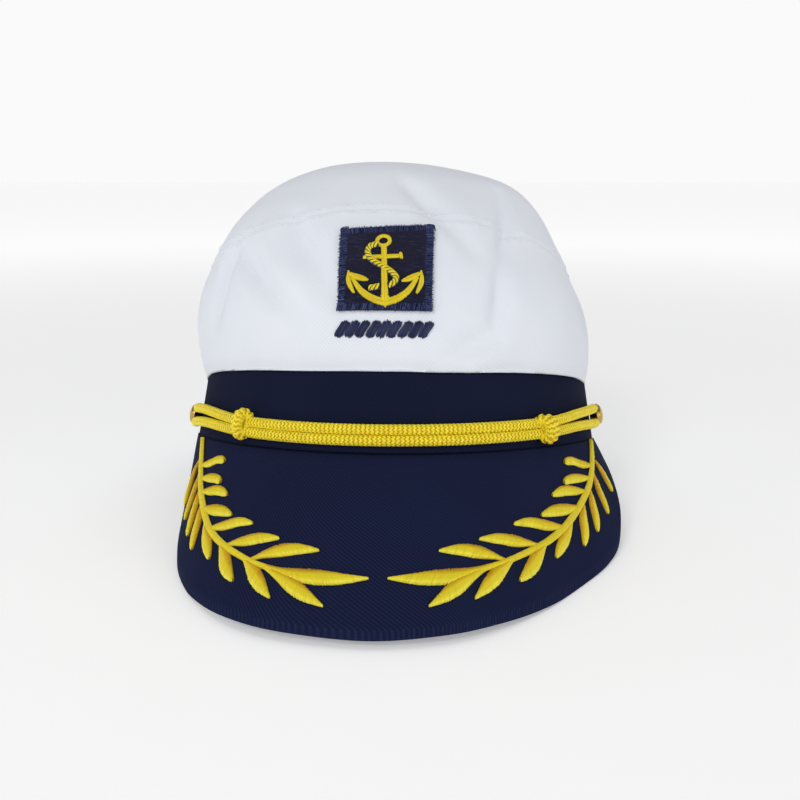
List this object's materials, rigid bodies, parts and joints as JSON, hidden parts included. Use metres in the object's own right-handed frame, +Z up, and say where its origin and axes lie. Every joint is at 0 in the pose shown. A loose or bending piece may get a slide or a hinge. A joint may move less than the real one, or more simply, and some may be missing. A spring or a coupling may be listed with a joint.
{
  "type": "captain hat",
  "caption": "Peaked yachting cap with a soft rounded crown, dark band and curved visor, an anchor badge, a doubled cord with knots between side buttons, and laurel sprays.",
  "frame": {"origin": "on the surface that the hat rests on, under the centre of its bounding box", "axes": "+Z up, -Y towards the front of the hat and its visor, +X towards the right as seen from the front"},
  "size_m": [0.1818, 0.2708, 0.1424],
  "materials": {
    "white_cloth": "matt white cotton twill",
    "navy_cloth": "matt navy twill",
    "navy_thread": "navy embroidery thread with a low sheen",
    "gold_cord": "braided yellow-gold rayon cord",
    "gold_thread": "satin-stitched gold embroidery thread",
    "gold_metal": "polished gilt"
  },
  "bodies": {
    "root": {"band": "navy_cloth", "crown_side": "white_cloth", "crown_top": "white_cloth", "visor": "navy_cloth", "cord_loop": "gold_cord", "knot_left": "gold_cord", "knot_right": "gold_cord", "button_left": "gold_metal", "button_right": "gold_metal", "badge_patch": "navy_thread", "badge_anchor": "gold_thread", "badge_bar": "navy_thread", "laurel_left": "gold_thread", "laurel_right": "gold_thread"}
  },
  "joints": []
}
